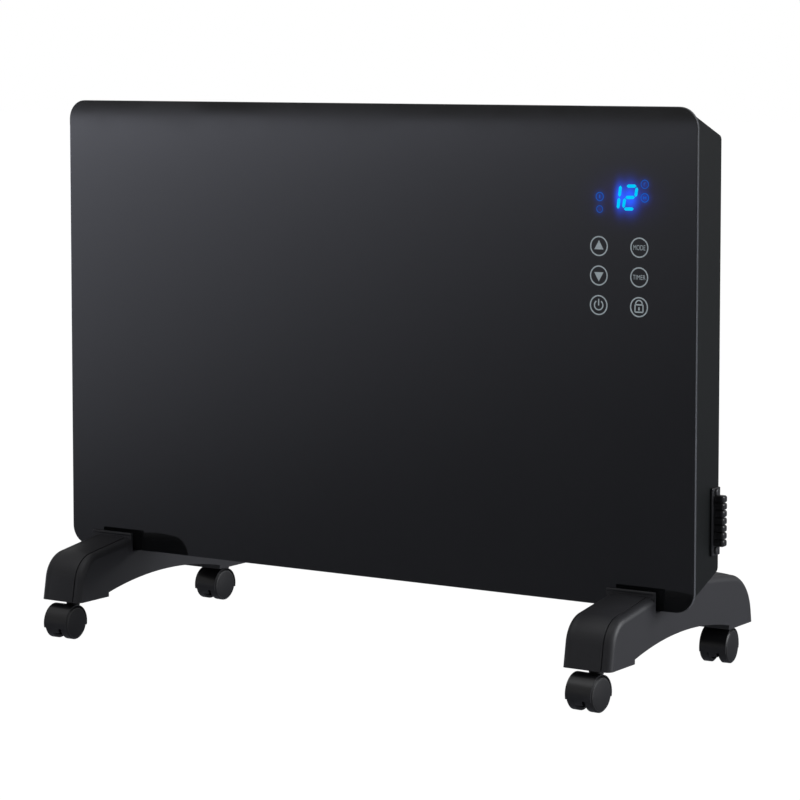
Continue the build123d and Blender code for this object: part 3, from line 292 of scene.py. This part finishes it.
near = glow_near(*NEAR_GLOW[0])
for patch in NEAR_GLOW[1:]:
    near = add("Math", {0: near, 1: glow_near(*patch)}, operation="ADD").outputs[0]
near_colour = add("VectorMath", {0: NEAR_BLUE, "Scale": near}, operation="SCALE")
far_colour = add("VectorMath", {0: FAR_BLUE, "Scale": glow_near(*FAR_GLOW)}, operation="SCALE")
glow = add("VectorMath", {0: near_colour.outputs[0], 1: far_colour.outputs[0]}, operation="ADD")
front = add("SeparateXYZ", {0: add("NewGeometry").outputs["Normal"]})
facing = add("Math", {0: front.outputs["Y"], 1: -0.5}, operation="LESS_THAN")
skin_colour = add("MixRGB", {"Fac": facing.outputs[0], "Color1": EDGE_GREY, "Color2": tint.outputs[0]})
glass = add("BsdfPrincipled", {
    "Base Color": skin_colour.outputs[0], "Roughness": rough.outputs["Result"], "IOR": 1.5,
    "Emission Color": glow.outputs[0], "Emission Strength": facing.outputs[0]})
add("OutputMaterial", {"Surface": glass.outputs[0]})
dress(panel, coat)


# The marks on the glass, a few hundredths of a millimetre proud: grey screen print with a faint painted
# glow for the rings and their signs, lit blue for the two digits and the four small signs of the display
# behind the sheet.
MARK_T = 0.05 * MM
KEY_LEFT = 255.9 * MM
KEY_RIGHT = 296.9 * MM
KEY_ROWS = (401.9 * MM, 375.4 * MM, 348.8 * MM)
RING_R = 8.47 * MM
LINE_W = 1.2 * MM
DIGIT_W = 2.9 * MM
# half width, depth below and height above its middle of an arrowhead
ARROW = (4.7 * MM, 3.0 * MM, 5.3 * MM)
# the power sign: its open ring, and the ends of its bar above the ring's middle
POWER_R = 4.3 * MM
POWER_SWEEP = (125.0, 415.0)
POWER_BAR = (5.6 * MM, -0.4 * MM)
# the lock sign, its heights taken from its own middle: body, shackle, then keyhole with its width
LOCK_UP = 0.2 * MM
LOCK_HALF = 4.0 * MM
LOCK_BODY = (-4.7 * MM, 1.9 * MM)
SHACKLE_Z = 2.5 * MM
SHACKLE_R = 3.3 * MM
SHACKLE_SWEEP = (-10.0, 190.0)
KEYHOLE = (-0.4 * MM, -2.9 * MM, 1.5 * MM)
MODE_SIZE = (11.9 * MM, 4.6 * MM)
TIMER_SIZE = (12.8 * MM, 4.2 * MM)
# ends of the lit bars in mm as x, z, x, z: two of the 1, then five of the 2
DIGIT_BARS = (
    (277.4, 455.1, 276.6, 448.1),
    (276.0, 444.3, 275.1, 437.3),
    (285.1, 456.3, 292.1, 456.5),
    (293.9, 454.1, 292.9, 448.2),
    (283.9, 446.2, 290.5, 446.4),
    (281.7, 444.1, 280.7, 438.1),
    (282.5, 435.9, 289.5, 436.1),
)
# middle, radius and line width in mm of the small signs' rings
SIGN_RINGS = (
    (256.4, 446.3, 3.7, 0.7),
    (301.9, 458.3, 3.7, 0.6),
    (302.0, 446.3, 3.8, 0.8),
    (256.4, 435.1, 3.0, 0.5),
)
# ends and line width in mm of the strokes inside those rings
SIGN_STROKES = (
    (256.4, 447.9, 256.4, 444.7, 0.9),
    (300.8, 447.6, 300.8, 445.0, 0.7),
    (303.2, 447.6, 303.2, 445.0, 0.7),
    (300.8, 446.3, 303.2, 446.3, 0.7),
    (301.2, 459.5, 302.8, 459.5, 0.5),
    (301.2, 459.5, 301.2, 457.1, 0.5),
)


def decal(outline):
    """Thin plate on the glass from its outline of (x, z) points in metres."""
    outline = np.asarray(outline, float)
    rows = [np.stack([outline[:, 0], np.full(len(outline), y), outline[:, 1]], axis=-1)
            for y in (glass_lo.y + MARK_T / 2, glass_lo.y - MARK_T)]
    return skin(np.array(rows), wrap_columns=True, cap_rows=True)


def stroke(x0, z0, x1, z1, width, point=0.0):
    """Bar between two points; each end may run to a point by that share of the width."""
    start, end = np.array([x0, z0]), np.array([x1, z1])
    along = (end - start) / np.linalg.norm(end - start)
    across = np.array([-along[1], along[0]]) * width / 2
    tip = along * width * point
    return decal([start - tip, start - across, end - across, end + tip, end + across, start + across])


def arc(x, z, radius, width, first=0.0, last=360.0, steps=72):
    """Band of a width round a centre from one angle to another, in degrees from the +x side."""
    whole = last - first >= 360.0
    turn = np.radians(np.linspace(first, last, steps, endpoint=not whole))[:, None]
    reach = radius + width / 2 * np.array([-1, 1, 1, -1])[None, :]
    y = glass_lo.y + MARK_T * np.array([0.5, 0.5, -1, -1])[None, :] + 0 * turn
    band = np.stack([x + reach * np.cos(turn), y, z + reach * np.sin(turn)], axis=-1)
    return skin(band, wrap_rows=whole, wrap_columns=True, cap_rows=not whole)


def word(text, x, z, wide, high):
    """Capitals in the plain built-in face, squeezed to a width and height about a centre."""
    curve = bpy.data.curves.new(text, "FONT")
    curve.body = text
    holder = bpy.data.objects.new(text, curve)
    bpy.context.scene.collection.objects.link(holder)
    bpy.context.view_layer.update()
    mesh = bpy.data.meshes.new_from_object(holder.evaluated_get(bpy.context.evaluated_depsgraph_get()))
    flat = np.zeros(len(mesh.vertices) * 3)
    mesh.vertices.foreach_get("co", flat)
    flat = flat.reshape(-1, 3)[:, :2]
    low, high_end = flat.min(0), flat.max(0)
    flat = (flat - (low + high_end) / 2) / (high_end - low) * (wide, high) + (x, z)
    points = np.stack([flat[:, 0], np.full(len(flat), glass_lo.y - MARK_T), flat[:, 1]], axis=-1)
    faces = [list(face.vertices) for face in mesh.polygons]
    bpy.data.objects.remove(holder)
    return points, faces


def sign_triangle(x, z, way):
    """Solid arrowhead pointing up (way 1) or down (-1)."""
    half_w, below, above = ARROW
    return decal([(x - half_w, z - way * below), (x + half_w, z - way * below), (x, z + way * above)])


rings = [arc(x, z, RING_R, LINE_W) for x in (KEY_LEFT, KEY_RIGHT) for z in KEY_ROWS]
signs = [sign_triangle(KEY_LEFT, KEY_ROWS[0], 1), sign_triangle(KEY_LEFT, KEY_ROWS[1], -1)]
power_z = KEY_ROWS[2]
signs.append(arc(KEY_LEFT, power_z, POWER_R, LINE_W, *POWER_SWEEP, 48))
signs.append(stroke(KEY_LEFT, power_z + POWER_BAR[0], KEY_LEFT, power_z + POWER_BAR[1], LINE_W))
lock_z = KEY_ROWS[2] + LOCK_UP
lock_left, lock_right = KEY_RIGHT - LOCK_HALF, KEY_RIGHT + LOCK_HALF
lock_low, lock_high = lock_z + LOCK_BODY[0], lock_z + LOCK_BODY[1]
signs.append(arc(KEY_RIGHT, lock_z + SHACKLE_Z, SHACKLE_R, LINE_W, *SHACKLE_SWEEP, 24))
for side_line in (
    (lock_left, lock_low, lock_right, lock_low),
    (lock_left, lock_high, lock_right, lock_high),
    (lock_left, lock_low, lock_left, lock_high),
    (lock_right, lock_low, lock_right, lock_high),
):
    signs.append(stroke(*side_line, LINE_W))
signs.append(stroke(KEY_RIGHT, lock_z + KEYHOLE[0], KEY_RIGHT, lock_z + KEYHOLE[1], KEYHOLE[2], 0.3))
print_with_painted_glow, add = shader("grey_print_painted_glow")
cloud = add("TexNoise", {"Vector": add("TexCoord").outputs["Object"], "Scale": 700.0, "Detail": 2.0})
print_and_glow_colour = add("MixRGB", {
    "Fac": cloud.outputs["Fac"], "Color1": (0.20, 0.235, 0.255, 1), "Color2": (0.30, 0.34, 0.36, 1)})
# the print's own grey also glows faintly: painted light, making it lighter than the lamps alone would
print_face_and_glow = add("BsdfPrincipled", {
    "Base Color": print_and_glow_colour.outputs[0], "Roughness": 0.35, "Emission Color": print_and_glow_colour.outputs[0],
    "Emission Strength": 0.35})
add("OutputMaterial", {"Surface": print_face_and_glow.outputs[0]})
for name, skins in (
    ("key_rings", rings),
    ("key_signs", signs),
    ("key_mode", [word("MODE", KEY_RIGHT, KEY_ROWS[0], *MODE_SIZE)]),
    ("key_timer", [word("TIMER", KEY_RIGHT, KEY_ROWS[1], *TIMER_SIZE)]),
):
    dress(piece(name, skins, weld=1e-7), print_with_painted_glow)

digits = [stroke(*(v * MM for v in ends), DIGIT_W, 0.5) for ends in DIGIT_BARS]
small = [arc(*(v * MM for v in ring)) for ring in SIGN_RINGS]
small += [stroke(*(v * MM for v in line)) for line in SIGN_STROKES]


def lit(name, colour, strength):
    """Light-up material with a little unevenness, as of a diffuser."""
    material, add = shader(name)
    cloud = add("TexNoise", {"Vector": add("TexCoord").outputs["Object"], "Scale": 260.0})
    level = add("MapRange", {
        "Value": cloud.outputs["Fac"], "To Min": strength * 0.85, "To Max": strength * 1.15})
    add("OutputMaterial", {"Surface": add("Emission", {
        "Color": colour + (1,), "Strength": level.outputs["Result"]}).outputs[0]})
    return material


lit_digits = lit("lit_digits", (0.0, 0.60, 1.0), 1.0)
dress(piece("display_digits", digits, weld=1e-7), lit_digits)
lit_signs = lit("lit_signs", (0.0, 0.17, 0.9), 0.6)
dress(piece("display_signs", small, weld=1e-7), lit_signs)


# The rear case, a pan of sheet steel, and the plate that closes it. Both carry a black satin powder
# coat with a fine orange-peel grain. The case is held by the bond to the glass; the feet screw to it.
def finish_nodes(names, material):
    """Give CAD nodes their material; their shapes are used as they are."""
    for name in names:
        nodes[name].data.materials.clear()
        nodes[name].data.materials.append(material)


SMOOTH_UNDER = 32.0


def smooth_copy(node, name, body, material):
    """A piece from a CAD node's own mesh, shaded smooth over its rounded edges; it replaces the node."""
    mesh = nodes[node].data
    flat = np.zeros(len(mesh.vertices) * 3)
    mesh.vertices.foreach_get("co", flat)
    faces = [list(face.vertices) for face in mesh.polygons]
    made = piece(name, [(flat.reshape(-1, 3), faces)], body, SMOOTH_UNDER)
    evener = made.modifiers.new("even_normals", "WEIGHTED_NORMAL")
    evener.keep_sharp = True
    evener.weight = 100
    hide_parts(node)
    dress(made, material)


def plastic(name, colour, rough, grain=0.0, grain_scale=900.0, mottle=0.12, metal=0.0, specular=0.5):
    """Material with a slightly mottled colour and a fine grain: colour times 1 +- mottle by noise."""
    material, add = shader(name)
    place = add("TexCoord").outputs["Object"]
    cloud = add("TexNoise", {"Vector": place, "Scale": 22.0, "Detail": 4.0})
    dark = tuple(c * (1 - mottle) for c in colour) + (1,)
    light = tuple(c * (1 + mottle) for c in colour) + (1,)
    shade = add("MixRGB", {"Fac": cloud.outputs["Fac"], "Color1": dark, "Color2": light})
    fine = add("TexNoise", {"Vector": place, "Scale": grain_scale, "Detail": 2.0})
    uneven = add("MapRange", {
        "Value": fine.outputs["Fac"], "To Min": rough * 0.92, "To Max": rough * 1.08})
    bumps = add("Bump", {"Height": fine.outputs["Fac"], "Strength": grain, "Distance": 0.0002})
    surface = add("BsdfPrincipled", {
        "Base Color": shade.outputs[0], "Roughness": uneven.outputs["Result"], "Metallic": metal,
        "Specular IOR Level": specular, "Normal": bumps.outputs[0]})
    add("OutputMaterial", {"Surface": surface.outputs[0]})
    return material


powder_coat = plastic("black_powder_coat", (0.0022, 0.0030, 0.0032), 0.5, grain=0.25,
                      grain_scale=1400.0, specular=0.13)
finish_nodes(["rear_case", "front_plate"], powder_coat)

# The bond between glass and case, a bead of black silicone.
silicone = plastic("black_silicone", (0.008, 0.008, 0.008), 0.55)
finish_nodes(["glass_bond"], silicone)

# Inside the case: the heating element with its ceramic bushes, pins and brackets, the bright shield,
# the safety devices, the boards and their fixings. They show only through the slots.
bare_steel = plastic("zinc_plated_steel", (0.55, 0.56, 0.57), 0.3, metal=1.0)
finish_nodes(["heat_shield", "compartment_wall", "element_bracket_left", "element_bracket_right",
              "element_terminal_left", "element_terminal_right"], bare_steel)
aluminium = plastic("drawn_aluminium", (0.72, 0.73, 0.74), 0.34, metal=1.0)
finish_nodes(["heating_element"], aluminium)
ceramic = plastic("steatite", (0.72, 0.69, 0.62), 0.55)
finish_nodes(["element_insulator_left", "element_insulator_right"], ceramic)
board = plastic("green_board", (0.012, 0.10, 0.035), 0.4)
finish_nodes(["touch_board", "power_board"], board)
white_moulding = plastic("white_moulding", (0.70, 0.70, 0.68), 0.45)
finish_nodes(["board_carrier", "board_standoffs"], white_moulding)
lens = plastic("smoked_lens", (0.02, 0.02, 0.025), 0.25)
finish_nodes(["display_module"], lens)
spring = plastic("tinned_spring", (0.6, 0.6, 0.6), 0.3, metal=1.0)
finish_nodes(["touch_springs", "thermal_fuse"], spring)
dark_moulding = plastic("dark_moulding", (0.02, 0.02, 0.02), 0.4)
finish_nodes(["tip_switch", "relays", "terminal_block", "thermal_cutout"], dark_moulding)

# On the back: the mains rocker in its snap-in housing, and the cord's strain relief with its nut.
glossy_moulding = plastic("glossy_black_moulding", (0.010, 0.010, 0.011), 0.22)
finish_nodes(["switch_housing", "rocker", "cord_gland", "gland_nut"], glossy_moulding)

# On the right wall near the back: the vented guard of the room sensor, moulded in black. Seven fat
# rounded ribs on a narrow core stand on a thin flange, with dark gaps between; two screws hold it.
GUARD_PITCH = 6.7 * MM
GUARD_UP = 1.0 * MM
GUARD_RIB_H = 6.5 * MM
GUARD_OUT = 11.6 * MM
GUARD_RIB_W = 8.8 * MM
GUARD_ROUND = 2.1 * MM
GUARD_CORE = (8.4 * MM, 3.4 * MM, 43.0 * MM)
GUARD_CORE_ROUND = 0.5 * MM
GUARD_FLANGE_T = 2.4 * MM
GUARD_FLANGE_ROUND = 1.0 * MM
GUARD_RIBS = 7


def pillow(low, high, rounding, steps=28):
    """Box with rounded edges: sign(n) * (half - r) + r * n over the directions n of a sphere."""
    low, high = np.asarray(low, float), np.asarray(high, float)
    up = np.linspace(0, np.pi, steps)[:, None]
    turn = (np.arange(2 * steps) + 0.5)[None, :] * np.pi / steps
    way = np.stack([np.sin(up) * np.cos(turn), np.sin(up) * np.sin(turn), np.cos(up) + 0 * turn], axis=-1)
    way[np.abs(way) < 1e-9] = 0.0
    half = (high - low) / 2 - rounding
    points = (low + high) / 2 + np.where(way >= 0, 1, -1) * half + rounding * way
    points[0, :, 0], points[-1, :, 0] = points[1, :, 0], points[-2, :, 0]
    points[0, :, 1], points[-1, :, 1] = points[1, :, 1], points[-2, :, 1]
    return skin(points, wrap_columns=True, cap_rows=True)


guard_lo, guard_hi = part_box("sensor_guard")
wall_x = guard_lo.x
guard_y = (guard_lo.y + guard_hi.y) / 2
guard_z = (guard_lo.z + guard_hi.z) / 2
skins = [pillow(
    (wall_x, guard_lo.y, guard_lo.z),
    (wall_x + GUARD_FLANGE_T, guard_hi.y, guard_hi.z), GUARD_FLANGE_ROUND)]
skins.append(pillow(
    (wall_x, guard_y - GUARD_CORE[1] / 2, guard_z - GUARD_CORE[2] / 2),
    (wall_x + GUARD_CORE[0], guard_y + GUARD_CORE[1] / 2, guard_z + GUARD_CORE[2] / 2),
    GUARD_CORE_ROUND))
for rib in range(GUARD_RIBS):
    z = guard_z + GUARD_UP + (rib - (GUARD_RIBS - 1) / 2) * GUARD_PITCH
    skins.append(pillow(
        (wall_x, guard_y - GUARD_RIB_W / 2, z - GUARD_RIB_H / 2),
        (wall_x + GUARD_OUT, guard_y + GUARD_RIB_W / 2, z + GUARD_RIB_H / 2), GUARD_ROUND))
guard = piece("vented_guard", skins, weld=1e-8)
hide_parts("sensor_guard")
dress(guard, glossy_moulding)
black_screw = plastic("blackened_screw", (0.035, 0.035, 0.037), 0.32, metal=0.6)
smooth_copy("guard_screws", "guard_screw_heads", "heater", black_screw)
bead = plastic("sensor_bead", (0.05, 0.04, 0.03), 0.3)
finish_nodes(["room_sensor"], bead)

# The feet, moulded in satin black nylon with a fine spark texture, screwed up into the case.
foot_moulding = plastic("foot_moulding", (0.0155, 0.0155, 0.0178), 0.5, grain=0.2,
                        grain_scale=1100.0, specular=0.32)
for side in ("left", "right"):
    smooth_copy(f"foot_{side}", f"foot_moulding_{side}", "heater", foot_moulding)

# Each arm of a foot carries a slightly crowned panel along its back, with a groove along its right edge
# only; on the left it runs down over the foot's rounded edge. A narrow ledge strip lies under the glass.
# Each path is its start, corner and end as (y, z) in mm from the glass's face, and the corner's radius.
FOOT_NOSE_PATH = ((-91.5, 37.4), (-84.0, 79.5), (-10.2, 90.2), 28.0)
FOOT_HEEL_PATH = ((73.6, 95.9), (182.5, 83.5), (189.5, 37.4), 45.0)
PANEL_HALF = 15.0 * MM
PANEL_LEFT = 24.6 * MM
EDGE_R = 6.3 * MM
PANEL_CROWN = 0.9 * MM
PANEL_PROUD = 0.25 * MM
PANEL_TUCK = 0.3 * MM
PANEL_SINK = 1.2 * MM
LEDGE_LOW = (-24.6 * MM, -10.7 * MM, 93.0 * MM)
LEDGE_HIGH = (24.6 * MM, -7.6 * MM, 95.7 * MM)
LEDGE_ROUND = 1.0 * MM
FOOT_X = 295.5 * MM


def rounded_path(a, b, c, radius, steps=40):
    """Points in metres from a to c with an arc at b, given in mm as (y, z), and their outward normals."""
    a, b, c = (np.array(q, float) for q in (a, b, c))
    back, on = (a - b) / np.linalg.norm(a - b), (c - b) / np.linalg.norm(c - b)
    half = np.arccos(back @ on) / 2
    reach = radius / np.tan(half)
    middle = (back + on) / np.linalg.norm(back + on)
    centre = b + middle * radius / np.sin(half)
    first, last = b + back * reach - centre, b + on * reach - centre
    sweep = np.linspace(0, 1, steps)[:, None]
    angle = np.pi - 2 * half
    turned = (first * np.sin((1 - sweep) * angle) + last * np.sin(sweep * angle)) / np.sin(angle)
    lead = a + (b + back * reach - a) * np.linspace(0, 1, 12, endpoint=False)[:, None]
    tail = (b + on * reach) + (c - b - on * reach) * np.linspace(0, 1, 25)[1:, None]
    points = np.concatenate([lead, centre + turned, tail]) * MM
    along = np.gradient(points, axis=0)
    normal = np.stack([-along[:, 1], along[:, 0]], axis=-1)
    return points, normal / np.linalg.norm(normal, axis=1)[:, None]


def crowned_panel(foot_x, path, rear_limit):
    """Shell along a path: lifted by proud + crown (1 - x^2/half^2), rounded down over the left edge."""
    points, normal = rounded_path(*path)
    top = np.linspace(EDGE_R - PANEL_LEFT, PANEL_HALF, 41)
    bow = np.clip(1 - (top / PANEL_HALF) ** 2, 0, 1)
    bend = np.linspace(0, np.pi / 2, 12, endpoint=False)
    across = np.concatenate([
        EDGE_R - PANEL_LEFT - EDGE_R * np.cos(bend), top, [PANEL_HALF, PANEL_HALF - PANEL_TUCK]])
    lift = PANEL_PROUD + np.concatenate([
        EDGE_R * (np.sin(bend) - 1), PANEL_CROWN * bow, [-PANEL_TUCK, -PANEL_SINK]])
    y = points[:, None, 0] + normal[:, None, 0] * lift[None, :] + glass_lo.y
    z = points[:, None, 1] + normal[:, None, 1] * lift[None, :]
    x = foot_x + across[None, :] + 0 * y
    return skin(np.stack([x, np.minimum(y, rear_limit), z], axis=-1), wrap_columns=True, cap_rows=True)


for side, foot_x in (("left", -FOOT_X), ("right", FOOT_X)):
    rear_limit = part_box(f"foot_{side}")[1].y
    below_glass = np.array([foot_x, glass_lo.y, 0.0])
    skins = [crowned_panel(foot_x, FOOT_NOSE_PATH, rear_limit),
             crowned_panel(foot_x, FOOT_HEEL_PATH, rear_limit),
             pillow(below_glass + LEDGE_LOW, below_glass + LEDGE_HIGH, LEDGE_ROUND)]
    dress(piece(f"foot_panels_{side}", skins), foot_moulding)
finish_nodes([f"foot_{kind}_{side}" for kind in ("screws", "nuts") for side in ("left", "right")],
             bare_steel)

# The castors: nylon hood and wheels, steel stem and axle. Each wheel's outer face is a slightly domed
# matt disc inside a tyre, with a narrow dark gap to the hood's rim; the tyre's darker colour is partly
# its own and partly painted shade for that gap.
castor_moulding = plastic("castor_nylon", (0.007, 0.007, 0.008), 0.33)
# the tyre is darker partly as painted shade, so that the gap round the disc reads dark
tyre_and_gap_shade = plastic("castor_tyre_and_painted_gap_shade", (0.005, 0.005, 0.0055), 0.45)
disc_moulding = plastic("castor_disc_nylon", (0.0055, 0.0055, 0.0066), 0.55, grain=0.3, grain_scale=900.0,
                        specular=0.26)
# each castor's turn about its stem in degrees, as it happens to stand
CASTOR_TURN = {"front_right": -3.7, "front_left": 1.8, "rear_right": 5.5, "rear_left": -3.0}
SWIVEL_Y = {"front": -71.8 * MM, "rear": 176.2 * MM}
TRAIL = 12.5 * MM
WHEEL_R = 16.0 * MM
DISC_FACE = 13.85 * MM
# the disc's face in mm: a parabolic dome, then its rounded rim as radius and height
DOME_R = 13.6
DOME_EDGE = 0.20
DOME_RISE = 0.98
DISC_RIM = np.array([(14.0, 0.05), (14.25, -0.25), (14.3, -0.9)])


def revolved(profile, centre, axis, steps=72):
    """Surface of (radius, height) pairs in mm turned about a level axis through a centre."""
    turn = np.linspace(0, 2 * np.pi, steps, endpoint=False)[None, :]
    radius, height = (profile[:, k][:, None] * MM for k in (0, 1))
    side = np.array([-axis[1], axis[0], 0.0])
    up = np.array([0.0, 0.0, 1.0])
    spokes = np.cos(turn)[..., None] * side + np.sin(turn)[..., None] * up
    points = centre + height[..., None] * axis + radius[..., None] * spokes
    return skin(points, wrap_columns=True, cap_rows=True)


dome_r = np.linspace(0.0, DOME_R, 24)
dome = DOME_EDGE + DOME_RISE * (1 - (dome_r / DOME_R) ** 2)
disc_profile = np.concatenate([np.stack([dome_r, dome], axis=-1), DISC_RIM])
for name, degrees in CASTOR_TURN.items():
    smooth_copy(f"castor_hood_{name}", f"hood_{name}", f"castor_{name}", castor_moulding)
    end, side = name.split("_")
    turn = radians(degrees)
    swivel = np.array([FOOT_X * (1 if side == "right" else -1), SWIVEL_Y[end] + glass_lo.y, 0.0])
    axle = swivel + np.array([TRAIL * np.sin(turn), -TRAIL * np.cos(turn), WHEEL_R])
    for half, way in (("a", -1), ("b", 1)):
        turning = f"wheel_{name}_{half}"
        smooth_copy(turning, f"tyre_{name}_{half}", turning, tyre_and_gap_shade)
        out = way * np.array([np.cos(turn), np.sin(turn), 0.0])
        face = revolved(disc_profile, axle + DISC_FACE * out, out)
        disc = piece(f"disc_{name}_{half}", [face], turning)
        dress(disc, disc_moulding)
finish_nodes([f"castor_{part}_{name}" for part in ("stem", "axle") for name in CASTOR_TURN],
             bare_steel)
